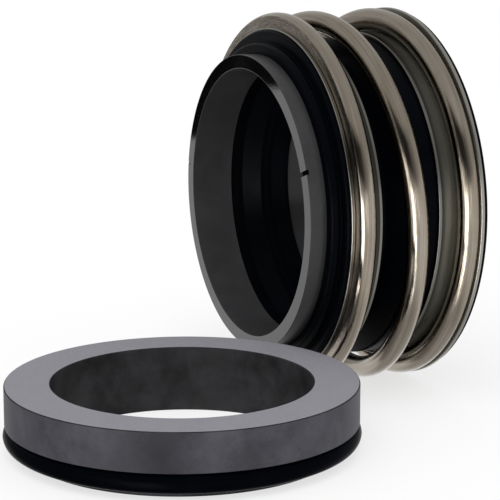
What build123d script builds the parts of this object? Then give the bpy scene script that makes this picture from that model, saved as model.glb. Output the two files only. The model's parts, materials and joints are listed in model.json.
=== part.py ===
"""Elastomer bellows mechanical seal for a 35 mm shaft, with its stationary seat.

Units are millimetres, +Z is up and the pieces stand on Z = 0. The head is the part of
the seal that turns with the shaft. It stands on its coil and its rear collar, with its
axis along X and its sealing face towards -X. The stationary seat lies flat beside it,
sealing face up. The origin is on the floor, under the middle of the whole set.

Every piece is sized outwards from the shaft: the face ring clears it, the rubber holds
the ring, the collars hold the rubber and the coil is centred on the collars.

Profiles of the head are (axial, radius, corner) points. The axial value is counted from
the sealing face towards the rear of the head. Profiles of the seat are counted from its
back face upwards. The corner value is the radius that rounds that corner.
"""
import os
from math import cos, pi, sin, sqrt

from build123d import *

shaft_diameter = 35.0
head_length = 25.8              # sealing face to the back of the rubber
fit_gap = 0.02                  # between pieces that are pressed or laid together

# Rotating face ring
ring_play = 2.85                # between the shaft and the bore of the ring
nose_width = 2.1                # width of the sealing face
nose_length = 2.5               # what shows in front of the rubber
ring_length = 6.7
ring_step = 1.0                 # how far the body of the ring stands out under the rubber lip
ring_edge = 0.12
notch_width = 0.55
notch_depth = 0.25
notch_angle = 21.0              # degrees above the horizontal, on the -Y side

# Rubber bellows
lip_thickness = 0.8             # rubber in front of the ring's step
lip_width = 1.7                 # from the nose to the ridge round the lip
lip_round = 0.55
ridge_length = 1.6              # from the front of the lip to the shoulder
shoulder_length = 0.6
shoulder_round = 0.4
shoulder_setback = 0.3          # how far the shoulder stays inside the front flange
cup_skin = 0.96                 # rubber round the ring
cup_wall = 2.0                  # rubber behind the ring
cup_bore_play = 0.4             # between the bore of the ring and the bore of the cup
fold_wall = 2.3                 # rubber in the fold
fold_depth = 3.4                # how far the fold dips below the cup
fold_width = 6.6
fold_floor = 1.4                # width of the bottom of the fold
fold_round = 0.9
tail_flange_thickness = 0.65
tail_flange_setback = 0.3       # how far the rubber flange stays inside the rear collar
tail_edge = 0.2
bore_round = 0.8

# Sheet metal collars
collar_sheet = 0.55
collar_length = 5.6             # along the cylinder, flange included
collar_bend = 0.35
front_flange_width = 1.2        # what stands out round the cylinder

# Coil spring
wire_diameter = 3.3
coil_play = 0.2                 # between the collars and the inside of the coil
end_turns = 0.62                # flat turns at each end
active_turns = 1.69
spring_start_angle = 148.0      # degrees from the top, towards -Y, where the wire leaves the front
pitch_ease = 0.10               # turns over which the pitch comes in
ground_depth = 0.5              # ground off each end of the coil, so that it sits flat
points_per_turn = 12

# Stationary seat
seat_play = 0.8                 # between the shaft and the bore of the seat
seat_width = 6.45               # from the bore to the outside
seat_height = 9.6
seat_wall = 5.65                # height of the full diameter
seat_groove_depth = 2.75
seat_edge = 0.25
o_ring_section = 3.0

# Where the seat lies
seat_side_offset = 26.0         # between the two axes, along Y
seat_clearance = 0.6            # between the seat and the head

# Radii that follow, from the shaft outwards
shaft_radius = shaft_diameter / 2
ring_bore_radius = shaft_radius + ring_play
nose_radius = ring_bore_radius + nose_width
ring_radius = nose_radius + ring_step
pocket_radius = ring_radius + fit_gap
cup_radius = pocket_radius + cup_skin
collar_radius = cup_radius + fit_gap + collar_sheet
front_flange_radius = collar_radius + front_flange_width
wire_radius = wire_diameter / 2
coil_radius = collar_radius + coil_play + wire_radius
head_radius = coil_radius + wire_radius
seat_bore_radius = shaft_radius + seat_play
seat_radius = seat_bore_radius + seat_width
groove_radius = seat_radius - seat_groove_depth
o_ring_centre_radius = groove_radius + fit_gap + o_ring_section / 2
o_ring_radius = o_ring_centre_radius + o_ring_section / 2

# Stations along the head that follow
shoulder_station = nose_length + ridge_length
front_flange_station = shoulder_station + shoulder_length
rear_flange_station = head_length - tail_flange_thickness
cup_back = ring_length + fit_gap + cup_wall
coil_front = front_flange_station + collar_sheet + fit_gap
coil_back = rear_flange_station - collar_sheet - fit_gap
front_coil = coil_front + wire_radius - ground_depth
rear_coil = coil_back - wire_radius + ground_depth
coil_pitch = (rear_coil - front_coil) / active_turns


def turned(profile):
    """Solid of revolution about X of (axial, radius, corner) points."""
    outline = FilletPolyline(
        [(axial, radius) for axial, radius, corner in profile],
        radius=[corner for axial, radius, corner in profile],
        close=True,
    )
    return revolve(make_face(outline), Axis.X)


def make_seal_face():
    """Face ring: a thin lapped nose on a thicker body, with one fine notch across the nose."""
    step = nose_length + lip_thickness
    ring = turned([
        (0, ring_bore_radius, ring_edge),
        (0, nose_radius, ring_edge),
        (step, nose_radius, 0),
        (step, ring_radius, 0),
        (ring_length, ring_radius, 0),
        (ring_length, ring_bore_radius, 0),
    ])
    notch = Box(2 * notch_depth, 2 * nose_width, notch_width)
    notch = Rot(X=-notch_angle) * Pos(Y=-(ring_bore_radius + nose_radius) / 2) * notch
    return ring - notch


def collar(flange_radius, flange_face, direction):
    """L section collar whose cylinder runs from its flange in the given direction."""
    inner = collar_radius - collar_sheet
    flange_back = flange_face + direction * collar_sheet
    end = flange_face + direction * collar_length
    return turned([
        (flange_face, inner, collar_bend),
        (flange_face, flange_radius, 0),
        (flange_back, flange_radius, 0),
        (flange_back, collar_radius, 0),
        (end, collar_radius, 0),
        (end, inner, 0),
    ])


def make_front_collar():
    """Collar behind the shoulder of the cup: its flange carries the front of the coil."""
    return collar(front_flange_radius, front_flange_station, 1)


def make_rear_collar():
    """Collar round the tail: its flange is as wide as the coil and carries its rear end."""
    return collar(head_radius, rear_flange_station, -1)


def make_bellows():
    """One rubber moulding: cup round the ring, one inward fold, tail on the shaft, rear flange."""
    lip_front = nose_length
    lip_radius = nose_radius + fit_gap
    ridge_radius = lip_radius + lip_width
    pocket_front = nose_length + lip_thickness - fit_gap
    pocket_back = ring_length + fit_gap
    shoulder_radius = front_flange_radius - shoulder_setback
    shoulder_back = front_flange_station - fit_gap
    fold_radius = cup_radius - fold_depth
    fold_middle = cup_back + fold_width / 2
    fold_end = cup_back + fold_width
    fold_inner_radius = fold_radius - fold_wall
    cup_bore_radius = ring_bore_radius + cup_bore_play
    flange_front = rear_flange_station + fit_gap
    flange_radius = head_radius - tail_flange_setback
    return turned([
        (lip_front, lip_radius, 0),
        (lip_front, ridge_radius - lip_round / 2, lip_round),
        (shoulder_station - lip_round, ridge_radius, lip_round / 2),
        (shoulder_station, ridge_radius - lip_round / 3, 0),
        (shoulder_station, shoulder_radius, shoulder_round),
        (shoulder_back, shoulder_radius, 0),
        (shoulder_back, cup_radius, 0),
        (cup_back, cup_radius, fold_round),
        (fold_middle - fold_floor / 2, fold_radius, fold_round),
        (fold_middle + fold_floor / 2, fold_radius, fold_round),
        (fold_end, cup_radius, fold_round),
        (flange_front, cup_radius, 0),
        (flange_front, flange_radius, tail_edge),
        (head_length, flange_radius, tail_edge),
        (head_length, shaft_radius, bore_round),
        (fold_end, shaft_radius, bore_round),
        (fold_middle + fold_floor / 2, fold_inner_radius, fold_round),
        (fold_middle - fold_floor / 2, fold_inner_radius, fold_round),
        (cup_back, cup_bore_radius, bore_round),
        (pocket_back, cup_bore_radius, 0),
        (pocket_back, pocket_radius, 0),
        (pocket_front, pocket_radius, 0),
        (pocket_front, lip_radius, 0),
    ])


def eased(turns):
    """Ramp that is flat before zero and straight after it, with a smooth start."""
    if turns <= -pitch_ease:
        return 0.0
    if turns < pitch_ease:
        return (turns + pitch_ease) ** 2 / (4 * pitch_ease)
    return turns


def coil_point(turns):
    """Centre of the wire, counted in turns from where it leaves the front flange."""
    angle = spring_start_angle * pi / 180 + 2 * pi * turns
    axial = front_coil + coil_pitch * (eased(turns) - eased(turns - active_turns))
    return Vector(axial, -coil_radius * sin(angle), coil_radius * cos(angle))


def make_spring():
    """Right-hand coil of round wire, its two end turns closed and ground flat."""
    total = active_turns + 2 * end_turns
    steps = round(total * points_per_turn)
    path = Spline([coil_point(total * step / steps - end_turns) for step in range(steps + 1)])
    wire_section = Plane(origin=path @ 0, z_dir=path % 0) * Circle(wire_radius)
    ground = Box(coil_back - coil_front, 3 * head_radius, 3 * head_radius)
    return sweep(wire_section, path) & Pos((coil_front + coil_back) / 2) * ground


def make_seat():
    """Stationary ring: full diameter under the sealing face, reduced behind it for the O-ring."""
    step_height = seat_height - seat_wall
    ring = turned([
        (0, seat_bore_radius, 0),
        (0, groove_radius, 0),
        (step_height, groove_radius, 0),
        (step_height, seat_radius, 0),
        (seat_height, seat_radius, seat_edge),
        (seat_height, seat_bore_radius, seat_edge),
    ])
    return Rot(Y=-90) * ring


def make_seat_o_ring():
    """O-ring round the reduced back of the seat, against its step."""
    height = seat_height - seat_wall - fit_gap - o_ring_section / 2
    return Pos(Z=height) * Torus(o_ring_centre_radius, o_ring_section / 2)


def seat_station():
    """Axial place of the seat, as near to the head as the clearance lets it lie."""
    drop = head_radius - seat_height
    reach = o_ring_radius + seat_clearance
    places = []
    for axial, radius in (
        (0, nose_radius),
        (nose_length, nose_radius + lip_width),
        (shoulder_station, front_flange_radius),
        (front_flange_station, head_radius),
    ):
        half_width = sqrt(max(radius ** 2 - drop ** 2, 0))
        side = max(seat_side_offset - half_width, 0)
        if radius > drop and side < reach:
            places.append(axial - sqrt(reach ** 2 - side ** 2))
    return min(places)


# The origin comes to the middle of the set's box, on the floor
set_front = seat_station() - o_ring_radius
set_side = seat_side_offset + o_ring_radius
head_place = Pos(-(set_front + head_length) / 2, (set_side - head_radius) / 2, head_radius)
seat_place = head_place * Pos(seat_station(), -seat_side_offset, -head_radius)

pieces = {
    "seal_face": head_place * make_seal_face(),
    "bellows": head_place * make_bellows(),
    "front_collar": head_place * make_front_collar(),
    "spring": head_place * make_spring(),
    "rear_collar": head_place * make_rear_collar(),
    "seat": seat_place * make_seat(),
    "seat_o_ring": seat_place * make_seat_o_ring(),
}

os.makedirs("parts", exist_ok=True)
for name, piece in pieces.items():
    export_step(piece, "parts/" + name + ".step")
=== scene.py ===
"""Looks for a bellows mechanical seal: its rotating head and its stationary seat.

The solids of the seal are loaded as a fixed frame. Each operator builds one piece, or a
group of like pieces, as a fine mesh in the same place and gives it its finish. Lengths
are in metres. Outlines of the head are (axial, radius, corner) points, counted from the
sealing face towards the rear. Outlines of the seat are counted from its back face upwards.
"""
import json
from math import atan2, cos, pi, radians, sin, tan

import bpy
from mathutils import Euler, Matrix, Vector


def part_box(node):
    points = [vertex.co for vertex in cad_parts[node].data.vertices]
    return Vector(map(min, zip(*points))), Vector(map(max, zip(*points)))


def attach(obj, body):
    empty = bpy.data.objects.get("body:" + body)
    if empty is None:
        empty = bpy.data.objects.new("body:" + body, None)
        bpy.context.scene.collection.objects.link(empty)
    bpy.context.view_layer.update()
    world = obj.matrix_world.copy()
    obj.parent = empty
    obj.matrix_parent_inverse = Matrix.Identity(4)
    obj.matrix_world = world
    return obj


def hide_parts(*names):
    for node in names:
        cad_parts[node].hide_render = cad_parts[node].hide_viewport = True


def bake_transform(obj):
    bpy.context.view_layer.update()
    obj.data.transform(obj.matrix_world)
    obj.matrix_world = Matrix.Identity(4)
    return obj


bl_info = {
    "name": "Bellows mechanical seal",
    "version": (1, 0, 0),
    "blender": (4, 5, 0),
    "location": "3D View > Sidebar > Seal",
    "description": "Builds the visible pieces, finishes and stage of a bellows mechanical seal",
    "category": "Add Mesh",
}

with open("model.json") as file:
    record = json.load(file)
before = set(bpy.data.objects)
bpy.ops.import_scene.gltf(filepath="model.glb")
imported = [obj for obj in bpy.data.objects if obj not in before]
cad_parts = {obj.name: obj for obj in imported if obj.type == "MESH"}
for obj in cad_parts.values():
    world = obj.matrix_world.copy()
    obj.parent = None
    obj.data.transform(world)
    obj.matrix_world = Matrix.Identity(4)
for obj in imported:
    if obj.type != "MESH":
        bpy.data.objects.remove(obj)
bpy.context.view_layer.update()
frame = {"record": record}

MM = 0.001
HAIR = 0.01 * MM                # less than any edge, for telling faces and points apart
DIGITS = 7                      # decimals kept of a turned point, so that flat faces stay flat
FINE_STEPS = 480                # steps round a ring that is seen large
WHITE = (1.0, 1.0, 1.0, 1.0)

# Places read from the frame
face_low, face_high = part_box("seal_face")
rear_low, rear_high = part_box("rear_collar")
front_low, front_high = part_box("front_collar")
rubber_low, rubber_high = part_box("bellows")
seat_low, seat_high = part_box("seat")
groove_low, groove_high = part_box("seat_o_ring")

# HEAD is the middle of the sealing face, and SEAT is the middle of the seat's back face
HEAD = Vector((face_low.x, (rear_low.y + rear_high.y) / 2, (rear_low.z + rear_high.z) / 2))
SEAT = Vector(((seat_low.x + seat_high.x) / 2, (seat_low.y + seat_high.y) / 2, 0.0))
HEAD_LENGTH = rubber_high.x - face_low.x
HEAD_RADIUS = (rear_high.z - rear_low.z) / 2
RING_LENGTH = face_high.x - face_low.x
RING_RADIUS = (face_high.z - face_low.z) / 2
FRONT_FLANGE = front_low.x - face_low.x
FRONT_FLANGE_RADIUS = (front_high.z - front_low.z) / 2
REAR_FLANGE_BACK = rear_high.x - face_low.x
COLLAR_LENGTH = rear_high.x - rear_low.x
TAIL_FLANGE_RADIUS = (rubber_high.z - rubber_low.z) / 2
SEAT_HEIGHT = seat_high.z - seat_low.z
SEAT_RADIUS = (seat_high.x - seat_low.x) / 2
O_RING_SECTION = groove_high.z - groove_low.z
O_RING_RADIUS = (groove_high.x - groove_low.x) / 2
O_RING_HEIGHT = (groove_high.z + groove_low.z) / 2
mount_radii = {
    mount["name"]: mount["dims"].get("r_mm", 0.0) * MM for mount in frame["record"]["mounts"]}
SHAFT_RADIUS = mount_radii["shaft_bore"]
SEAT_BORE_RADIUS = mount_radii["seat_bore"]


# ---- Settings

def length(name, description, default):
    """A size that a user can change, in metres."""
    return bpy.props.FloatProperty(
        name=name, description=description, default=default, min=0.0, unit="LENGTH", precision=5)


def colour(name, description, default):
    """A linear colour that a user can change."""
    return bpy.props.FloatVectorProperty(
        name=name, description=description, default=default, size=3, subtype="COLOR",
        min=0.0, max=1.0)


def amount(name, description, default):
    """A plain number that a user can change."""
    return bpy.props.FloatProperty(name=name, description=description, default=default, min=0.0)


def angle(name, description, default):
    """An angle that a user can change, in radians."""
    return bpy.props.FloatProperty(
        name=name, description=description, default=default, subtype="ANGLE")


def count(name, description, default):
    """A whole number that a user can change."""
    return bpy.props.IntProperty(name=name, description=description, default=default, min=12)


class SealSizes(bpy.types.PropertyGroup):
    """Sizes that the frame's boxes don't give."""
    ring_bore: length("Ring bore", "Radius of the bore of the face ring", 20.35 * MM)
    nose_radius: length("Nose radius", "Outer radius of the sealing face", 22.45 * MM)
    nose_length: length("Nose length", "How far the ring stands out of the rubber", 2.5 * MM)
    lip_thickness: length("Lip thickness", "Rubber in front of the ring's step", 0.8 * MM)
    ridge_radius: length("Ridge radius", "Radius of the ridge round the lip", 24.17 * MM)
    ridge_length: length("Ridge length", "From the front of the lip to the shoulder", 1.6 * MM)
    shoulder_radius: length("Shoulder radius", "Rubber in front of the front flange", 25.9 * MM)
    cup_radius: length("Cup radius", "Outside of the rubber under the collars", 24.43 * MM)
    cup_wall: length("Cup wall", "Rubber behind the face ring", 2.0 * MM)
    fold_width: length("Fold width", "Axial width of the fold", 6.6 * MM)
    fold_depth: length("Fold depth", "How far the fold dips below the cup", 3.4 * MM)
    fold_floor: length("Fold floor", "Width of the bottom of the fold", 1.4 * MM)
    fold_wall: length("Fold wall", "Rubber in the fold", 2.3 * MM)
    sheet: length("Collar sheet", "Thickness of the collars", 0.55 * MM)
    collar_radius: length("Collar radius", "Outside of the collars' cylinders", 25.0 * MM)
    wire_radius: length("Wire radius", "Half the diameter of the spring wire", 1.65 * MM)
    seat_wall: length("Seat wall", "Height of the seat's full diameter", 5.65 * MM)
    seat_groove: length("Seat groove radius", "Radius of the seat behind its step", 22.0 * MM)
    seat_edge: length("Seat edge", "Rounding of the seat's top edges", 0.25 * MM)


class SealSpring(bpy.types.PropertyGroup):
    """Winding of the coil."""
    end_turns: amount("End turns", "Flat turns closed against each collar", 0.62)
    active_turns: amount("Active turns", "Turns between the two flat ends", 1.69)
    start_angle: angle(
        "Start angle", "From the top towards -Y, where the wire leaves the front", radians(148))
    pitch_ease: amount("Pitch ease", "Turns over which the pitch comes in", 0.10)
    ground_depth: length("Ground depth", "Ground off each end of the coil", 0.5 * MM)


class SealColours(bpy.types.PropertyGroup):
    """Linear colours of the finishes."""
    # Light tone of the seat's lapped top: painted sheen, in place of what the flat lapped face
    # reflects
    lapped: colour("Lapped face", "Lapped top of the seat", (0.254, 0.251, 0.275))
    ground: colour("Ground wall", "Ground walls of the seat", (0.063, 0.062, 0.073))
    # Darker copy of the ground wall's tone for the bore and the rounded top edges: painted shade
    seat_bore: colour("Seat bore", "Bore and edges of the seat", (0.026, 0.026, 0.028))
    ring_face: colour("Ring face", "Lapped nose of the face ring", (0.003, 0.003, 0.0032))
    ring_wall: colour("Ring wall", "Turned walls of the face ring", (0.036, 0.036, 0.038))
    rubber: colour("Rubber", "Black moulded rubber", (0.0010, 0.0014, 0.0024))
    wire: colour("Wire", "Polished spring wire", (0.330, 0.297, 0.252))
    # Sheet tone lighter than the open end's, towards the coil: painted light against the coil's
    # shadow
    sheet: colour("Sheet", "Pressed sheet of the rear collar", (0.270, 0.267, 0.232))
    # The front collar's sheet is a darker copy of the rear collar's: painted shade
    painted_shade_sheet: colour("Painted shade sheet", "Pressed sheet of the front collar", (0.036, 0.036, 0.031))
    open_end: colour("Open end", "Collar sheet towards its open end", (0.037, 0.037, 0.032))
    # Rims are bare cut metal and are also painted lighter than the sheet: painted highlight
    rim: colour("Rim", "Cut rims of the collars", (0.330, 0.318, 0.290))
    open_rim: colour("Open rim", "Cut rims at the open ends of the collars", (0.185, 0.178, 0.163))
    floor: colour("Floor", "Floor and backdrop", (0.95, 0.95, 0.95))


class SealStage(bpy.types.PropertyGroup):
    """Camera and light."""
    camera_place: bpy.props.FloatVectorProperty(
        name="Camera place",
        description="From the middle of the sealing face along X and Y, and above the floor",
        default=(-133.3 * MM, -293.1 * MM, 90.0 * MM), size=3, subtype="XYZ", unit="LENGTH")
    camera_yaw: angle("Camera yaw", "Heading from +Y towards +X", radians(24.57))
    camera_pitch: angle("Camera pitch", "How far the camera looks down", radians(12.07))
    focal_pixels: amount("Focal length", "In pixels of a 500 pixel wide picture", 2157.0)
    world_strength: amount("World", "Strength of the plain world light", 0.80)
    key_strength: amount("Key light", "Strength of the broad light from above at the left", 1.1)
    key_spread: angle("Key spread", "Angular size of the key light", radians(50))
    key_lean: angle("Key lean", "How far the key light comes from the front", radians(28))
    key_side: angle("Key side", "How far the key light comes from the right", radians(-22))
    strip_strength: amount("Strip", "Brightness of the reflected strip at the left", 8.0)


# ---- Mesh tools

def rounded(outline, step=radians(12)):
    """Closed outline of (axial, radius, corner) points, its corners as arcs of short steps."""
    points = []
    for index, (axial, radius, corner) in enumerate(outline):
        here = Vector((axial, radius))
        before = Vector(outline[index - 1][:2]) - here
        after = Vector(outline[(index + 1) % len(outline)][:2]) - here
        if corner <= 0.0:
            points.append(here)
            continue
        half = before.angle(after) / 2
        reach = corner / tan(half)
        before.normalize()
        after.normalize()
        centre = here + (before + after).normalized() * (corner / sin(half))
        first = here + before * reach - centre
        last = here + after * reach - centre
        sweep = first.angle_signed(last)
        pieces = max(2, round(abs(sweep) / step))
        for piece in range(pieces + 1):
            turn = -sweep * piece / pieces
            points.append(centre + Vector((
                first.x * cos(turn) - first.y * sin(turn),
                first.x * sin(turn) + first.y * cos(turn))))
    return points


def subdivided(points, longest):
    """The same closed outline with no run longer than the given length."""
    result = []
    for index, point in enumerate(points):
        following = points[(index + 1) % len(points)]
        pieces = max(1, round((following - point).length / longest))
        result += [point.lerp(following, piece / pieces) for piece in range(pieces)]
    return result


def place_on_head(axial, radius, turn):
    """Point of the head, at a turn from the top towards -Y."""
    return HEAD + Vector((axial, -radius * sin(turn), radius * cos(turn)))


def place_on_seat(height, radius, turn):
    """Point of the seat, at a turn from +X towards +Y."""
    return SEAT + Vector((radius * cos(turn), radius * sin(turn), height))


def even_turns(steps):
    """Turns, in radians, that part the whole round evenly."""
    return [2 * pi * index / steps for index in range(steps)]


def new_piece(name, vertices, faces, sharp=radians(35)):
    """Mesh object with smooth faces, sharp only where two faces meet at more than an angle."""
    mesh = bpy.data.meshes.new(name)
    mesh.from_pydata(vertices, [], faces)
    mesh.validate()
    mesh.shade_smooth()
    mesh.set_sharp_from_angle(angle=sharp)
    piece = bpy.data.objects.new(name, mesh)
    bpy.context.scene.collection.objects.link(piece)
    return piece


def turned(name, points, place, turns=even_turns(360), dip=None, sharp=radians(5)):
    """Ring turned from a closed outline. dip can move a point's axial value at a turn."""
    vertices = []
    for turn in turns:
        for axial, radius in points:
            moved = dip(axial, radius, turn) if dip else axial
            vertices.append(place(round(moved, DIGITS), round(radius, DIGITS), turn))
    rows, columns = len(turns), len(points)
    faces = []
    for row in range(rows):
        next_row = (row + 1) % rows
        for column in range(columns):
            next_column = (column + 1) % columns
            faces.append((
                row * columns + column, row * columns + next_column,
                next_row * columns + next_column, next_row * columns + column))
    piece = new_piece(name, vertices, faces, sharp)
    outward_normals(piece)
    return piece


def set_points(piece, name, kind, field, values):
    """Gives each point of a piece a value that its finish reads."""
    piece.data.attributes.new(name, kind, "POINT").data.foreach_set(field, values)


def outward_normals(piece):
    """Turns the faces of a closed mesh outwards."""
    mesh = piece.data
    volume = 0.0
    for face in mesh.polygons:
        corners = [mesh.vertices[index].co for index in face.vertices]
        for second, third in zip(corners[1:], corners[2:]):
            volume += corners[0].dot(second.cross(third))
    if volume < 0.0:
        mesh.flip_normals()


def finish_piece(piece, body, node, slot, *materials):
    """Seats a piece in the frame: its body, the solid it stands for and its finishes. The slot is
    not used.
    """
    for material in materials:
        piece.data.materials.append(material)
    if body:
        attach(piece, body)
    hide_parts(node)


# ---- Shader tools

def socket(sockets, name):
    """The socket of that name, passing over sockets that are switched off."""
    return next(each for each in sockets if each.name == name and each.enabled)


def add(tree, kind, **values):
    """New node, with its properties and the values of its inputs."""
    node = tree.nodes.new(kind)
    for name, value in values.items():
        if hasattr(node, name):
            setattr(node, name, value)
    for name, value in values.items():
        if not hasattr(node, name):
            socket(node.inputs, name.replace("_", " ")).default_value = value
    return node


def feed(tree, value, target):
    """Gives a socket a plain value, or links it to another node's output."""
    if isinstance(value, bpy.types.NodeSocket):
        tree.links.new(value, target)
    else:
        target.default_value = value


def maths(tree, operation, *values):
    """Maths node whose inputs are numbers or other nodes' outputs. Returns its output."""
    node = add(tree, "ShaderNodeMath", operation=operation)
    for value, target in zip(values, node.inputs):
        feed(tree, value, target)
    return node.outputs[0]


def vector_maths(tree, operation, first, second=None, output=0):
    """Vector maths node that is fed as maths is. Returns the output asked for."""
    node = add(tree, "ShaderNodeVectorMath", operation=operation)
    feed(tree, first, node.inputs[0])
    if second is not None:
        feed(tree, second, node.inputs["Scale" if operation == "SCALE" else 1])
    return node.outputs[output]


def blended(tree, factor, low, high):
    """Colour between two colours, each a plain colour or an output. Returns the colour."""
    node = add(tree, "ShaderNodeMix", data_type="RGBA")
    tree.links.new(factor, socket(node.inputs, "Factor"))
    for name, value in (("A", low), ("B", high)):
        plain_colour = not isinstance(value, bpy.types.NodeSocket)
        feed(tree, (*value, 1.0) if plain_colour else value, socket(node.inputs, name))
    return socket(node.outputs, "Result")


def spread(tree, value, low, high, new_low, new_high):
    """Maps a value from one range to another, held inside it. Returns the output."""
    node = add(tree, "ShaderNodeMapRange",
               From_Min=low, From_Max=high, To_Min=new_low, To_Max=new_high)
    tree.links.new(value, node.inputs["Value"])
    return node.outputs["Result"]


def tinted(tone, *shares):
    """A colour times one share, or times a share for each of its channels."""
    shares = shares if len(shares) == 3 else shares * 3
    return tuple(value * share for value, share in zip(tone, shares))


def mix_shaders(tree, factor, first, second, kind="ShaderNodeOutputMaterial"):
    """Mixes two shaders and makes the mix the surface of a material or world."""
    mix = tree.nodes.new("ShaderNodeMixShader")
    tree.links.new(factor, mix.inputs[0])
    tree.links.new(first.outputs[0], mix.inputs[1])
    tree.links.new(second.outputs[0], mix.inputs[2])
    leave = next((node for node in tree.nodes if node.bl_idname == kind), None)
    tree.links.new(mix.outputs[0], (leave or tree.nodes.new(kind)).inputs["Surface"])


def new_group(name, inputs, outputs):
    """Empty shader node group with named sockets. Returns the group and its two end nodes."""
    group = bpy.data.node_groups.new(name, "ShaderNodeTree")
    for label, kind, value in inputs:
        made = group.interface.new_socket(label, in_out="INPUT", socket_type=kind)
        if value is not None:
            made.default_value = value
    for label, kind in outputs:
        group.interface.new_socket(label, in_out="OUTPUT", socket_type=kind)
    return group, group.nodes.new("NodeGroupInput"), group.nodes.new("NodeGroupOutput")


def grain_group():
    """Fine grain of a fired, ground or moulded surface, with broader patches under it."""
    name = "Seal grain"
    if name in bpy.data.node_groups:
        return bpy.data.node_groups[name]
    group, entry, leave = new_group(
        name,
        [("Grain Scale", "NodeSocketFloat", 2600.0), ("Patch Scale", "NodeSocketFloat", 160.0)],
        [("Grain", "NodeSocketFloat"), ("Patches", "NodeSocketFloat")])
    place = add(group, "ShaderNodeTexCoord")
    for scale_name, output_name, detail in (
            ("Grain Scale", "Grain", 3.0), ("Patch Scale", "Patches", 4.0)):
        noise = add(group, "ShaderNodeTexNoise", Detail=detail, Roughness=0.62)
        group.links.new(place.outputs["Object"], noise.inputs["Vector"])
        group.links.new(entry.outputs[scale_name], noise.inputs["Scale"])
        group.links.new(noise.outputs["Fac"], leave.inputs[output_name])
    return group


def turning_group():
    """Fine rings left by turning or lapping, about the axis that Across leaves out."""
    name = "Seal turning marks"
    if name in bpy.data.node_groups:
        return bpy.data.node_groups[name]
    group, entry, leave = new_group(
        name,
        [("Centre", "NodeSocketVector", None), ("Across", "NodeSocketVector", None),
         ("Spacing", "NodeSocketFloat", 9000.0)],
        [("Rings", "NodeSocketFloat")])
    place = add(group, "ShaderNodeTexCoord")
    moved = vector_maths(group, "SUBTRACT", place.outputs["Object"], entry.outputs["Centre"])
    across = vector_maths(group, "MULTIPLY", moved, entry.outputs["Across"])
    distance = vector_maths(group, "LENGTH", across, output="Value")
    along = vector_maths(group, "SUBTRACT", moved, across)
    run = vector_maths(group, "DOT_PRODUCT", along, (1.0, 1.0, 1.0), "Value")
    noise = add(group, "ShaderNodeTexNoise", noise_dimensions="1D", Detail=2.0, Roughness=0.7)
    group.links.new(maths(group, "ADD", distance, run), noise.inputs["W"])
    group.links.new(entry.outputs["Spacing"], noise.inputs["Scale"])
    group.links.new(noise.outputs["Fac"], leave.inputs["Rings"])
    return group


def use_group(tree, group, **values):
    """Places a node group in a material with its own values."""
    return add(tree, "ShaderNodeGroup", node_tree=group, **values)


def new_material(name, **values):
    """Material with a Principled shader whose plain values are set on its own sockets."""
    material = bpy.data.materials.new(name)
    material.use_nodes = True
    tree = material.node_tree
    shader = next(node for node in tree.nodes if node.type == "BSDF_PRINCIPLED")
    for label, value in values.items():
        shader.inputs[label.replace("_", " ")].default_value = value
    return material, tree, shader


def bump(tree, shader, height, strength, distance):
    """Feeds a height into the shader's normal."""
    node = add(tree, "ShaderNodeBump", Strength=strength, Distance=distance)
    tree.links.new(height, node.inputs["Height"])
    tree.links.new(node.outputs["Normal"], shader.inputs["Normal"])


MID_NOISE = (0.3, 0.7)          # where most values of a noise lie
HEAD_RINGS = {"Centre": HEAD, "Across": (0.0, 1.0, 1.0)}
SEAT_RINGS = {"Centre": SEAT, "Across": (1.0, 1.0, 0.0)}

# Values that the points of a piece carry, for its finish to read
WIRE_PLACE = "wire_place"       # along and round the wire
COLLAR_PLACE = "collar_place"   # 0 at the open end of a collar, 1 where its fade of painted light ends
PAINTED_SHADE = "painted_shade"               # painted shade: share by which a patch of the seat's wall is darker


def rough_patches(tree, shader, grain, roughness, share):
    """Roughness that rises and falls in soft patches, by a share of its plain value."""
    patches = spread(tree, grain.outputs["Patches"], *MID_NOISE,
                     roughness * (1.0 - share), roughness * (1.0 + share))
    tree.links.new(patches, shader.inputs["Roughness"])


def carbide(name, tone, about, roughness, patch_depth, ring_depth, shine):
    """Silicon carbide, lapped or ground: grain, soft patches and faint rings."""
    material, tree, shader = new_material(name, IOR=1.62, Specular_IOR_Level=shine)
    grain = use_group(tree, grain_group(), Grain_Scale=3200.0, Patch_Scale=190.0)
    rings = use_group(tree, turning_group(), Spacing=9000.0, **about)
    patches = spread(tree, grain.outputs["Patches"], 0.34, 0.66,
                     1.0 - patch_depth, 1.0 + patch_depth)
    # Painted shade: the base colour is darkened by the share that the piece's points carry
    painted_shade = add(tree, "ShaderNodeAttribute", attribute_name=PAINTED_SHADE)
    kept = maths(tree, "SUBTRACT", 1.0, painted_shade.outputs["Fac"])
    shade = blended(tree, spread(tree, grain.outputs["Grain"], *MID_NOISE, 0.0, 1.0),
                    tinted(tone, 0.93), tinted(tone, 1.07))
    shade = vector_maths(tree, "SCALE", shade, maths(tree, "MULTIPLY", patches, kept))
    tree.links.new(shade, shader.inputs["Base Color"])
    rough_patches(tree, shader, grain, roughness, share=0.15)
    height = maths(tree, "MULTIPLY_ADD", rings.outputs["Rings"], ring_depth, grain.outputs["Grain"])
    bump(tree, shader, height, strength=0.05, distance=0.02 * MM)
    return material


def rubber(name, tone, shine, roughness):
    """Black moulded rubber: satin skin with faint bloom and soft unevenness."""
    material, tree, shader = new_material(name, IOR=1.5, Specular_IOR_Level=shine)
    grain = use_group(tree, grain_group(), Grain_Scale=1500.0, Patch_Scale=120.0)
    bloom = spread(tree, grain.outputs["Patches"], 0.45, 0.75, 0.0, 1.0)
    tree.links.new(blended(tree, bloom, tone, tinted(tone, 1.8)), shader.inputs["Base Color"])
    rough_patches(tree, shader, grain, roughness, share=0.2)
    height = maths(tree, "MULTIPLY_ADD", grain.outputs["Patches"], 2.0, grain.outputs["Grain"])
    bump(tree, shader, height, strength=0.08, distance=0.03 * MM)
    return material


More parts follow.
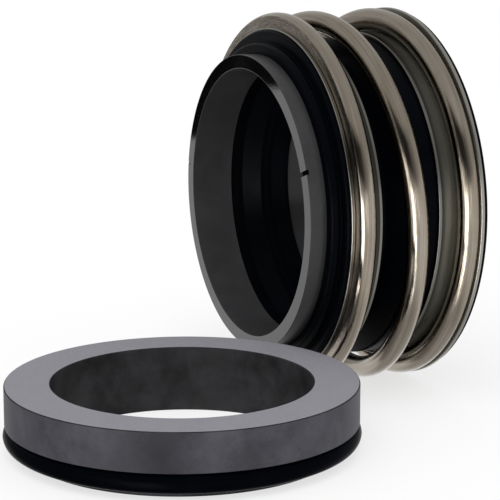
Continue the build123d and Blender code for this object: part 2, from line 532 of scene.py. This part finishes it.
def polished_wire(name, tone):
    """Drawn and polished spring steel: nearly a mirror, with fine draw marks along the wire."""
    material, tree, shader = new_material(name, Metallic=1.0)
    grain = use_group(tree, grain_group(), Grain_Scale=900.0, Patch_Scale=70.0)
    place = add(tree, "ShaderNodeAttribute", attribute_name=WIRE_PLACE)
    marks = add(tree, "ShaderNodeTexNoise", Scale=5.0, Detail=4.0, Roughness=0.65)
    tree.links.new(place.outputs["Vector"], marks.inputs["Vector"])
    worn = maths(tree, "MULTIPLY_ADD", marks.outputs["Fac"], 2.0, grain.outputs["Patches"])
    brown = tinted(tone, 0.74, 0.69, 0.63)
    shade = blended(tree, spread(tree, worn, 1.15, 1.85, 0.0, 1.0), brown, tinted(tone, 1.10))
    tree.links.new(shade, shader.inputs["Base Color"])
    rough = spread(tree, marks.outputs["Fac"], *MID_NOISE, 0.06, 0.17)
    tree.links.new(rough, shader.inputs["Roughness"])
    bump(tree, shader, marks.outputs["Fac"], strength=0.7, distance=0.05 * MM)
    return material


def pressed_sheet(name, tone, open_end, metallic, roughness):
    """Stainless sheet with turned lines round the collar, in another tone at its open end. Its tone
    blends from the open end's to the sheet's, which on the rear collar is painted light against the
    coil's shadow.
    """
    material, tree, shader = new_material(name, Metallic=metallic)
    place = add(tree, "ShaderNodeAttribute", attribute_name=COLLAR_PLACE)
    grain = use_group(tree, grain_group(), Grain_Scale=1800.0, Patch_Scale=110.0)
    rings = use_group(tree, turning_group(), Spacing=7000.0, **HEAD_RINGS)
    shade = blended(tree, spread(tree, rings.outputs["Rings"], *MID_NOISE, 0.0, 1.0),
                    tinted(tone, 0.85), tinted(tone, 1.12))
    # Painted light: from the open end's tone to the lighter sheet tone where the coil shades the
    # sheet
    near = spread(tree, place.outputs["Fac"], 0.35, 1.05, 1.0, 0.0)
    tree.links.new(blended(tree, near, shade, open_end), shader.inputs["Base Color"])
    rough_patches(tree, shader, grain, roughness, share=0.2)
    bump(tree, shader, rings.outputs["Rings"], strength=0.12, distance=0.02 * MM)
    return material


# ---- Pieces

class SEAL_OT_face_ring(bpy.types.Operator):
    """Rotating face ring: lapped nose, turned walls, one notch across the nose and a chip"""
    bl_idname = "seal.face_ring"
    bl_label = "Face ring"

    notch_width: length("Notch width", "Width of the notch", 0.70 * MM)
    notch_depth: length("Notch depth", "Depth of the notch", 0.35 * MM)
    notch_angle: angle("Notch angle", "Above the horizontal, on the -Y side", radians(21))
    chip_width: length("Chip width", "Width of the chip in the outer edge", 0.35 * MM)
    chip_depth: length("Chip depth", "Depth of the chip", 0.12 * MM)
    chip_reach: length("Chip reach", "How far the chip goes in from the outer edge", 0.6 * MM)
    chip_angle: angle("Chip angle", "Above the horizontal, on the +Y side", radians(7))

    def execute(self, context):
        sizes = context.scene.seal_sizes
        tones = context.scene.seal_colours
        step = sizes.nose_length + sizes.lip_thickness
        edge = 0.08 * MM
        longest_run = 0.6 * MM
        wall_width = 0.007 * MM
        points = subdivided(rounded([
            (0, sizes.ring_bore, edge),
            (0, sizes.nose_radius, edge),
            (step, sizes.nose_radius, 0),
            (step, RING_RADIUS, edge),
            (RING_LENGTH, RING_RADIUS, edge),
            (RING_LENGTH, sizes.ring_bore, edge),
        ]), longest_run)
        wall = wall_width / sizes.nose_radius
        # Each mark is its turn, half its width as a turn, where it starts and its depth
        marks = [
            (pi / 2 - self.notch_angle, self.notch_width / 2 / sizes.nose_radius,
             0.0, self.notch_depth),
            (3 * pi / 2 + self.chip_angle, self.chip_width / 2 / sizes.nose_radius,
             sizes.nose_radius - self.chip_reach, self.chip_depth),
        ]
        turns = even_turns(FINE_STEPS)
        for turn, half, _, _ in marks:
            turns = [other for other in turns if abs(other - turn) > half + wall]
            turns += [turn - half - wall, turn - half, turn + half, turn + half + wall]

        def dip(axial, radius, turn):
            for place, half, inner, depth in marks:
                if abs(turn - place) < half + wall / 2 and radius > inner and axial < depth:
                    return depth
            return axial

        ring = turned("face_ring", points, place_on_head, sorted(turns), dip)
        finish_piece(
            ring, "face_unit", "seal_face", "face_carbide",
            carbide("seal_lapped_nose", tones.ring_face, HEAD_RINGS,
                    roughness=0.035, patch_depth=0.03, ring_depth=0.2, shine=0.5),
            carbide("seal_turned_ring", tones.ring_wall, HEAD_RINGS,
                    roughness=0.32, patch_depth=0.12, ring_depth=1.2, shine=0.18),
            carbide("seal_notch", tones.ring_face, HEAD_RINGS,
                    roughness=0.60, patch_depth=0.03, ring_depth=0.2, shine=0.0))
        lapped, walls, pit = range(3)
        for polygon in ring.data.polygons:
            at = polygon.center - HEAD
            turn = atan2(-at.y, at.z) % (2 * pi)
            in_mark = (
                any(abs(turn - place) < half + wall for place, half, _, _ in marks)
                and HAIR < at.x < self.notch_depth * 1.01
                and sizes.ring_bore < Vector((at.y, at.z)).length < sizes.nose_radius)
            on_face = polygon.normal.x < -0.9 and at.x < edge
            polygon.material_index = pit if in_mark else lapped if on_face else walls
        return {"FINISHED"}


class SEAL_OT_bellows(bpy.types.Operator):
    """Rubber bellows: cup, fold, tail and rear flange as one moulding"""
    bl_idname = "seal.bellows"
    bl_label = "Bellows"

    gap: length("Gap", "Between the rubber and what it holds", 0.02 * MM)
    lip_round: length("Lip rounding", "Rounding of the lip", 0.55 * MM)
    shoulder_round: length("Shoulder rounding", "Rounding of the shoulder", 0.4 * MM)
    fold_round: length("Fold rounding", "Rounding of the fold", 0.9 * MM)
    bore_round: length("Bore rounding", "Rounding of the tail's bore and the cup's", 0.8 * MM)
    tail_edge: length("Tail edge", "Rounding of the rear flange", 0.2 * MM)
    small_edge: length("Small edge", "Rounding of the other edges", 0.12 * MM)
    cup_play: length("Cup play", "From the bore of the ring to the bore of the cup", 0.4 * MM)

    def execute(self, context):
        sizes = context.scene.seal_sizes
        gap = self.gap
        small = self.small_edge
        longest_run = 0.5 * MM
        lip = sizes.nose_length
        lip_radius = sizes.nose_radius + gap
        shoulder = lip + sizes.ridge_length
        pocket_front = lip + sizes.lip_thickness - gap
        pocket_back = RING_LENGTH + gap
        pocket_radius = RING_RADIUS + gap
        cup_back = pocket_back + sizes.cup_wall
        fold_middle = cup_back + sizes.fold_width / 2
        fold_end = cup_back + sizes.fold_width
        fold_radius = sizes.cup_radius - sizes.fold_depth
        inner_fold = fold_radius - sizes.fold_wall
        half_floor = sizes.fold_floor / 2
        flange = REAR_FLANGE_BACK + gap
        cup_bore = sizes.ring_bore + self.cup_play
        points = subdivided(rounded([
            (lip, lip_radius, small),
            (lip, sizes.ridge_radius - self.lip_round / 2, self.lip_round),
            (shoulder - self.lip_round, sizes.ridge_radius, self.lip_round / 2),
            (shoulder, sizes.ridge_radius - self.lip_round / 3, small),
            (shoulder, sizes.shoulder_radius, self.shoulder_round),
            (FRONT_FLANGE - gap, sizes.shoulder_radius, small),
            (FRONT_FLANGE - gap, sizes.cup_radius, 0),
            (cup_back, sizes.cup_radius, self.fold_round),
            (fold_middle - half_floor, fold_radius, self.fold_round),
            (fold_middle + half_floor, fold_radius, self.fold_round),
            (fold_end, sizes.cup_radius, self.fold_round),
            (flange, sizes.cup_radius, 0),
            (flange, TAIL_FLANGE_RADIUS, self.tail_edge),
            (HEAD_LENGTH, TAIL_FLANGE_RADIUS, self.tail_edge),
            (HEAD_LENGTH, SHAFT_RADIUS, self.bore_round),
            (fold_end, SHAFT_RADIUS, self.bore_round),
            (fold_middle + half_floor, inner_fold, self.fold_round),
            (fold_middle - half_floor, inner_fold, self.fold_round),
            (cup_back, cup_bore, self.bore_round),
            (pocket_back, cup_bore, small),
            (pocket_back, pocket_radius, 0),
            (pocket_front, pocket_radius, 0),
            (pocket_front, lip_radius, small),
        ]), longest_run)
        bellows = turned("rubber_bellows", points, place_on_head, sharp=radians(35))
        tone = context.scene.seal_colours.rubber
        finish_piece(bellows, None, "bellows", "bellows_rubber",
                     rubber("seal_bellows_rubber", tone, shine=0.024, roughness=0.36),
                     rubber("seal_bellows_bore", tone, shine=0.35, roughness=0.20))
        for polygon in bellows.data.polygons:
            at = polygon.center - HEAD
            inside = at.x > fold_end and Vector((at.y, at.z)).length < SHAFT_RADIUS + gap
            polygon.material_index = 1 if inside else 0
        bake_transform(bellows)
        return {"FINISHED"}


class SEAL_OT_collars(bpy.types.Operator):
    """Front and rear sheet collars that hold the rubber and carry the coil"""
    bl_idname = "seal.collars"
    bl_label = "Collars"

    edge: length("Edge", "Rounding of the sheet's cut edges", 0.12 * MM)
    bend: length("Bend", "Inner corner of the pressed bend", 0.35 * MM)
    # A band at the open end gets the rim's lighter tone: painted highlight along the edge
    painted_highlight_band: length("Painted highlight band", "Bright strip at the open end of each collar", 0.35 * MM)
    # Over this fade the tone rises to the lighter sheet tone, painted light against the coil's
    # shadow
    fade: length("Fade", "From the open end to where the sheet has its own tone", 1.8 * MM)

    def collar(self, name, sizes, flange_radius, face, direction):
        """L section whose cylinder runs from its flange in a direction."""
        longest_run = 0.35 * MM
        inner = sizes.collar_radius - sizes.sheet
        back = face + direction * sizes.sheet
        end = face + direction * COLLAR_LENGTH
        points = subdivided(rounded([
            (face, inner, self.bend),
            (face, flange_radius, self.edge),
            (back, flange_radius, self.edge),
            (back, sizes.collar_radius, self.edge),
            (end, sizes.collar_radius, self.edge),
            (end, inner, self.edge),
        ]), longest_run)
        return turned(name, points, place_on_head)

    def execute(self, context):
        sizes = context.scene.seal_sizes
        tones = context.scene.seal_colours
        pressed = {"metallic": 0.85, "roughness": 0.34}
        # The rear collar's sheet, painted lighter towards the coil
        painted_light_sheet = pressed_sheet("seal_pressed_sheet_painted_light", tones.sheet, tones.open_end, **pressed)
        # The front collar's darker copy of the sheet: painted shade
        shaded_front_sheet = pressed_sheet("seal_painted_shade_sheet", tones.painted_shade_sheet, tones.open_end, **pressed)
        rim = pressed_sheet(
            "seal_cut_rim_painted_highlight", tones.rim, tones.open_rim, metallic=1.0, roughness=0.22)
        front = self.collar("collar_front", sizes, FRONT_FLANGE_RADIUS, FRONT_FLANGE, 1)
        rear = self.collar("collar_rear", sizes, HEAD_RADIUS, REAR_FLANGE_BACK, -1)
        front_end = FRONT_FLANGE + COLLAR_LENGTH
        rear_end = REAR_FLANGE_BACK - COLLAR_LENGTH
        for piece, body, node, sheet, radius, end in (
            (front, "face_unit", "front_collar", shaded_front_sheet, FRONT_FLANGE_RADIUS, front_end),
            (rear, "tail_set", "rear_collar", painted_light_sheet, HEAD_RADIUS, rear_end),
        ):
            finish_piece(piece, body, node, "collar_steel", sheet, rim)
            set_points(piece, COLLAR_PLACE, "FLOAT", "value", [
                abs(vertex.co.x - HEAD.x - end) / self.fade for vertex in piece.data.vertices])
            for polygon in piece.data.polygons:
                at = polygon.center - HEAD
                # Flange rims and a band at the open end take the rim finish: bare cut metal and
                # painted highlight
                on_flange_rim = Vector((at.y, at.z)).length > radius - 2 * self.edge
                on_open_end = abs(at.x - end) < self.painted_highlight_band
                polygon.material_index = 1 if on_flange_rim or on_open_end else 0
        return {"FINISHED"}


class SEAL_OT_spring(bpy.types.Operator):
    """Right-hand coil spring of polished round wire, its end turns closed and ground flat"""
    bl_idname = "seal.spring"
    bl_label = "Spring"

    gap: length("Gap", "Between the coil and the flanges", 0.02 * MM)
    steps_per_turn: count("Steps", "Sections of wire in one turn", 144)
    sides: count("Sides", "Sides of the wire's section", 48)
    mark_length: length("Mark length", "Run of wire over which a draw mark changes", 12 * MM)
    end_bevel: amount("End bevel", "Bevel of the wire's cut ends, in wire radii", 0.12)

    def execute(self, context):
        sizes = context.scene.seal_sizes
        coil = context.scene.seal_spring
        wire = sizes.wire_radius
        radius = HEAD_RADIUS - wire
        coil_front = HEAD.x + FRONT_FLANGE + sizes.sheet + self.gap
        coil_back = HEAD.x + REAR_FLANGE_BACK - sizes.sheet - self.gap
        front = coil_front - HEAD.x + wire - coil.ground_depth
        rear = coil_back - HEAD.x - wire + coil.ground_depth
        pitch = (rear - front) / coil.active_turns

        def eased(turns):
            """Ramp that is flat before zero and straight after it, with a smooth start."""
            if turns <= -coil.pitch_ease:
                return 0.0
            if turns < coil.pitch_ease:
                return (turns + coil.pitch_ease) ** 2 / (4 * coil.pitch_ease)
            return turns

        def centre(turns):
            """Middle of the wire, in turns from where it leaves the front flange."""
            axial = front + pitch * (eased(turns) - eased(turns - coil.active_turns))
            return place_on_head(axial, radius, coil.start_angle + 2 * pi * turns)

        total = coil.active_turns + 2 * coil.end_turns
        steps = round(total * self.steps_per_turn)
        bevel = self.end_bevel * wire
        nudge = bevel / (2 * pi * radius)
        ahead = 0.001
        first_turns, last_turns = -coil.end_turns, total - coil.end_turns
        # Each section is its turns, the turns of its middle and its radius. The first and the
        # last full section stand back a little, to leave room for the bevel of the cut end.
        sections = [(first_turns, first_turns, wire - bevel)]
        for step in range(steps + 1):
            turns = first_turns + total * step / steps
            middle = max(first_turns + nudge, min(last_turns - nudge, turns))
            sections.append((turns, middle, wire))
        sections.append((last_turns, last_turns, wire - bevel))
        vertices, places, faces = [], [], []
        for turns, middle, size in sections:
            at = centre(middle)
            tangent = (centre(turns + ahead) - centre(turns - ahead)).normalized()
            outward = at - HEAD
            outward.x = 0.0
            outward = (outward - tangent * outward.dot(tangent)).normalized()
            side = tangent.cross(outward)
            for turn in even_turns(self.sides):
                vertex = at + size * (outward * cos(turn) + side * sin(turn))
                vertex.x = min(max(vertex.x, coil_front), coil_back)
                vertices.append(vertex)
                places += [turns * radius / self.mark_length, cos(turn), sin(turn)]
        rows = [range(first, first + self.sides) for first in range(0, len(vertices), self.sides)]
        for row, next_row in zip(rows, rows[1:]):
            for index in range(self.sides):
                following = (index + 1) % self.sides
                faces.append((row[index], row[following], next_row[following], next_row[index]))
        faces.append(tuple(reversed(rows[0])))
        faces.append(tuple(rows[-1]))
        spring = new_piece("coil_spring", vertices, faces)
        set_points(spring, WIRE_PLACE, "FLOAT_VECTOR", "vector", places)
        outward_normals(spring)
        finish_piece(spring, None, "spring", "spring_steel",
                     polished_wire("seal_polished_wire", context.scene.seal_colours.wire))
        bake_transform(spring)
        return {"FINISHED"}


class SEAL_OT_seat(bpy.types.Operator):
    """Stationary seat ring: lapped top, ground walls and a stepped back"""
    bl_idname = "seal.seat"
    bl_label = "Seat"

    small_edge: length("Small edge", "Rounding of the hidden edges", 0.12 * MM)
    painted_shade_angle: angle(
        "Painted shade angle", "Middle of the dark patch on the wall, from +X towards +Y", radians(240))
    painted_shade_width: angle("Painted shade width", "Half the width of the dark patch", radians(17))
    painted_shade_depth: amount("Painted shade depth", "How much darker the patch is", 0.55)

    def execute(self, context):
        sizes = context.scene.seal_sizes
        tones = context.scene.seal_colours
        step = SEAT_HEIGHT - sizes.seat_wall
        points = rounded([
            (0, SEAT_BORE_RADIUS, self.small_edge),
            (0, sizes.seat_groove, self.small_edge),
            (step, sizes.seat_groove, self.small_edge),
            (step, SEAT_RADIUS, self.small_edge),
            (SEAT_HEIGHT, SEAT_RADIUS, sizes.seat_edge),
            (SEAT_HEIGHT, SEAT_BORE_RADIUS, sizes.seat_edge),
        ])
        seat = turned("seat_ring", points, place_on_seat, even_turns(FINE_STEPS))
        # Painted shade: a patch in the middle of the wall, on the side that faces the camera, is
        # made darker
        shares = []
        for vertex in seat.data.vertices:
            at = vertex.co - SEAT
            off = abs(atan2(at.y, at.x) % (2 * pi) - self.painted_shade_angle) / self.painted_shade_width
            on_wall = Vector((at.x, at.y)).length > SEAT_RADIUS - HAIR
            shares.append(self.painted_shade_depth * (1 - min(off, 1) ** 2) ** 2 if on_wall else 0.0)
        set_points(seat, PAINTED_SHADE, "FLOAT", "value", shares)
        finish_piece(
            seat, "tail_set", "seat", "seat_carbide",
            # Lapped top: a lighter copy of the carbide with its shine off, its light tone painted
            # sheen
            carbide("seal_lapped_seat_painted_sheen", tones.lapped, SEAT_RINGS,
                    roughness=0.34, patch_depth=0.02, ring_depth=0.3, shine=0.0),
            carbide("seal_ground_seat", tones.ground, SEAT_RINGS,
                    roughness=0.46, patch_depth=0.26, ring_depth=0.8, shine=0.05),
            # Bore and rounded top edges: a darker copy of the ground finish, painted shade
            carbide("seal_seat_bore_painted_shade", tones.seat_bore, SEAT_RINGS,
                    roughness=0.50, patch_depth=0.45, ring_depth=0.8, shine=0.05))
        lapped, wall, bore = range(3)
        bore_reach = SEAT_BORE_RADIUS + sizes.seat_edge
        for polygon in seat.data.polygons:
            at = polygon.center - SEAT
            in_bore = Vector((at.x, at.y)).length < bore_reach or polygon.normal.z > 0.3
            on_top = polygon.normal.z > 0.9
            polygon.material_index = lapped if on_top else bore if in_bore else wall
        return {"FINISHED"}


class SEAL_OT_o_ring(bpy.types.Operator):
    """O-ring round the reduced back of the seat, with its faint moulding line"""
    bl_idname = "seal.o_ring"
    bl_label = "O-ring"

    flash: length("Moulding line", "How far the moulding line stands out", 0.03 * MM)
    sides: count("Sides", "Sides of the O-ring's section", 48)

    def execute(self, context):
        section = O_RING_SECTION / 2
        centre = O_RING_RADIUS - section
        points = []
        for turn in even_turns(self.sides):
            size = section - (HAIR if turn == 0.0 else self.flash)
            points.append(Vector((O_RING_HEIGHT + size * sin(turn), centre + size * cos(turn))))
        ring = turned("seat_o_ring_rubber", points, place_on_seat, sharp=radians(35))
        tone = context.scene.seal_colours.rubber
        finish_piece(ring, "tail_set", "seat_o_ring", "o_ring_rubber",
                     rubber("seal_o_ring_rubber", tone, shine=0.006, roughness=0.25))
        return {"FINISHED"}


# ---- Stage

def reflected_card(name, bearings, heights, reach, strength, across_fades, up_fades):
    """Part of a sphere round the head that only reflections see.

    Bearings are degrees from -Y towards -X and heights are degrees above the horizon. The
    fades are the degrees over which the card clears at its low and at its high side. A card
    that is nearer to the head hides those behind it.
    """
    columns, rows = 16, 10
    middle = HEAD + Vector((HEAD_LENGTH / 2, 0, 0))
    vertices, places, faces = [], [], []
    for row in range(rows + 1):
        for column in range(columns + 1):
            across, up = column / columns, row / rows
            bearing = radians(bearings[0] + (bearings[1] - bearings[0]) * across)
            height = radians(heights[0] + (heights[1] - heights[0]) * up)
            vertices.append(middle + reach * Vector((
                -sin(bearing) * cos(height), -cos(bearing) * cos(height), sin(height))))
            places.append((across, up))
    for row in range(rows):
        for first in range(row * (columns + 1), row * (columns + 1) + columns):
            faces.append((first, first + 1, first + columns + 2, first + columns + 1))
    card = new_piece(name, vertices, faces)
    layer = card.data.uv_layers.new(name="across")
    for loop, corner in zip(layer.data, card.data.loops):
        loop.uv = places[corner.vertex_index]
    material = bpy.data.materials.new(name)
    material.use_nodes = True
    tree = material.node_tree
    tree.nodes.clear()
    place = add(tree, "ShaderNodeTexCoord")
    parts = add(tree, "ShaderNodeSeparateXYZ")
    tree.links.new(place.outputs["UV"], parts.inputs[0])
    edges = []
    for axis, limits, fades in (("X", bearings, across_fades), ("Y", heights, up_fades)):
        low, high = (fade / (limits[1] - limits[0]) for fade in fades)
        edges += [spread(tree, parts.outputs[axis], 0.0, low, 0.0, 1.0),
                  spread(tree, parts.outputs[axis], 1.0 - high, 1.0, 1.0, 0.0)]
    shown = edges[0]
    for edge in edges[1:]:
        shown = maths(tree, "MULTIPLY", shown, edge)
    glow = add(tree, "ShaderNodeEmission", Color=WHITE, Strength=strength)
    mix_shaders(tree, shown, tree.nodes.new("ShaderNodeBsdfTransparent"), glow)
    card.data.materials.append(material)
    for ray in ("camera", "diffuse", "shadow", "transmission"):
        setattr(card, "visible_" + ray, False)


class SEAL_OT_stage(bpy.types.Operator):
    """Pale floor, plain world, soft key light, reflected cards and the camera"""
    bl_idname = "seal.stage"
    bl_label = "Stage"

    floor_size: length("Floor size", "Side of the floor", 6.0)
    floor_drop: length("Floor drop", "How far the floor lies under the seal", 0.05 * MM)
    floor_glow: amount(
        "Floor glow", "Share of plain white that the camera sees in the floor", 0.70)

    def execute(self, context):
        stage = context.scene.seal_stage
        self.make_floor(context.scene.seal_colours.floor)
        self.make_world(context.scene, stage)
        self.make_key(context.scene, stage)
        self.make_cards(stage.strip_strength)
        self.make_camera(context.scene, stage)
        context.scene.view_settings.view_transform = "Standard"
        return {"FINISHED"}

    def make_key(self, scene, stage):
        """Broad even light from above, at the left of the camera."""
        data = bpy.data.lights.new("key_light", "SUN")
        data.energy = stage.key_strength
        data.angle = stage.key_spread
        key = bpy.data.objects.new("key_light", data)
        key.rotation_euler = Euler((stage.key_lean, stage.key_side, 0))
        key.visible_glossy = False
        scene.collection.objects.link(key)

    def make_cards(self, strip):
        """What the polished metal and the lapped nose reflect, from the farthest card inwards."""
        round_about = (-180, 180)
        for name, bearings, heights, reach, strength, across_fades, up_fades in (
            # Even grey from above, from below and from behind
            ("ceiling_card", round_about, (10, 90), 540, 0.62, (0.1, 0.1), (6, 1)),
            ("under_card", round_about, (-90, -40), 540, 0.58, (0.1, 0.1), (1, 20)),
            ("back_card", (112, 250), (-4, 16), 520, 0.50, (20, 20), (0.5, 5)),
            # Black bars that only the top of the nose sees
            ("near_bar_card", (149.5, 154.4), (-5.8, -3), 500, 0.0, (0.1, 0.01), (0.2, 0.2)),
            ("far_bar_card", (154.4, 159), (-8.0, -3), 500, 0.0, (0.01, 0.1), (0.2, 0.2)),
            # Dim side and dark shade, which give the wires their dark ovals
            ("side_card", (76, 148), (-66, 26), 460, 0.30, (20, 3), (14, 16)),
            ("shade_card", (-46, 88), (5, 46), 440, 0.04, (66, 14), (14, 10)),
            # Bright strips, which give the wires their white streaks
            ("strip_card", (34, 62), (-56, 6), 400, strip, (4, 6), (24, 5)),
            ("hook_card", (56, 84), (-3, 14), 380, strip * 0.35, (5, 8), (4, 5)),
            ("thin_strip_card", (-2, 14), (-12, 13), 360, strip * 0.28, (6, 6), (8, 6)),
        ):
            reflected_card(name, bearings, heights, reach * MM, strength, across_fades, up_fades)

    def make_floor(self, tone):
        """Pale floor that keeps the shadow and that the camera sees nearly white."""
        half = self.floor_size / 2
        sides = (-half, -half), (half, -half), (half, half), (-half, half)
        corners = [(x, y, -self.floor_drop) for x, y in sides]
        floor = new_piece("floor", corners, [(0, 1, 2, 3)])
        material, tree, shader = new_material("seal_floor", Roughness=0.9, Specular_IOR_Level=0.0)
        grain = use_group(tree, grain_group(), Grain_Scale=300.0, Patch_Scale=9.0)
        tree.links.new(blended(tree, grain.outputs["Patches"], tinted(tone, 0.99), tone),
                       shader.inputs["Base Color"])
        path = add(tree, "ShaderNodeLightPath")
        glow = add(tree, "ShaderNodeEmission", Color=WHITE, Strength=1.0)
        share = maths(tree, "MULTIPLY", path.outputs["Is Camera Ray"], self.floor_glow)
        mix_shaders(tree, share, shader, glow)
        floor.data.materials.append(material)
        floor.visible_glossy = False

    def make_world(self, scene, stage):
        """Plain light on the seal, and white where the camera or a reflection sees it."""
        world = bpy.data.worlds.new("seal_world")
        world.use_nodes = True
        scene.world = world
        tree = world.node_tree
        tree.nodes.clear()
        lit = add(tree, "ShaderNodeBackground", Color=WHITE, Strength=stage.world_strength)
        white = add(tree, "ShaderNodeBackground", Color=WHITE, Strength=1.0)
        path = add(tree, "ShaderNodeLightPath").outputs
        seen = maths(tree, "MAXIMUM", path["Is Camera Ray"], path["Is Glossy Ray"])
        seen = maths(tree, "MAXIMUM", seen, path["Is Transmission Ray"])
        mix_shaders(tree, seen, lit, white, "ShaderNodeOutputWorld")

    def make_camera(self, scene, stage):
        """Camera at its place in front of the seal, at the left."""
        picture_width = 500
        data = bpy.data.cameras.new("seal_camera")
        data.sensor_width = 36.0
        data.lens = stage.focal_pixels / picture_width * data.sensor_width
        data.clip_start = 0.01
        camera = bpy.data.objects.new("seal_camera", data)
        place = Vector(stage.camera_place)
        camera.location = Vector((HEAD.x + place.x, HEAD.y + place.y, place.z))
        camera.rotation_euler = Euler((pi / 2 - stage.camera_pitch, 0, -stage.camera_yaw))
        scene.collection.objects.link(camera)
        scene.camera = camera


# ---- Panel and running

PIECES = (
    SEAL_OT_face_ring, SEAL_OT_bellows, SEAL_OT_collars, SEAL_OT_spring, SEAL_OT_seat,
    SEAL_OT_o_ring, SEAL_OT_stage)


class SEAL_PT_panel(bpy.types.Panel):
    """Lists the seal's pieces and settings"""
    bl_idname = "SEAL_PT_panel"
    bl_label = "Mechanical seal"
    bl_space_type = "VIEW_3D"
    bl_region_type = "UI"
    bl_category = "Seal"

    def draw(self, context):
        for piece in PIECES:
            self.layout.operator(piece.bl_idname)
        for name in ("seal_sizes", "seal_spring", "seal_colours", "seal_stage"):
            group = getattr(context.scene, name)
            for key in type(group).__annotations__:
                self.layout.prop(group, key)


GROUPS = {
    "seal_sizes": SealSizes,
    "seal_spring": SealSpring,
    "seal_colours": SealColours,
    "seal_stage": SealStage,
}


def register():
    """Registers the classes and hangs the settings on the scene."""
    for kind in (*GROUPS.values(), *PIECES, SEAL_PT_panel):
        bpy.utils.register_class(kind)
    for name, kind in GROUPS.items():
        setattr(bpy.types.Scene, name, bpy.props.PointerProperty(type=kind))


def unregister():
    """Takes away what register adds."""
    for name in GROUPS:
        delattr(bpy.types.Scene, name)
    for kind in reversed((*GROUPS.values(), *PIECES, SEAL_PT_panel)):
        bpy.utils.unregister_class(kind)


def main():
    """Builds every piece and the stage."""
    register()
    bpy.ops.seal.face_ring()
    bpy.ops.seal.bellows()
    bpy.ops.seal.collars()
    bpy.ops.seal.spring()
    bpy.ops.seal.seat()
    bpy.ops.seal.o_ring()
    bpy.ops.seal.stage()


if __name__ == "__main__":
    main()
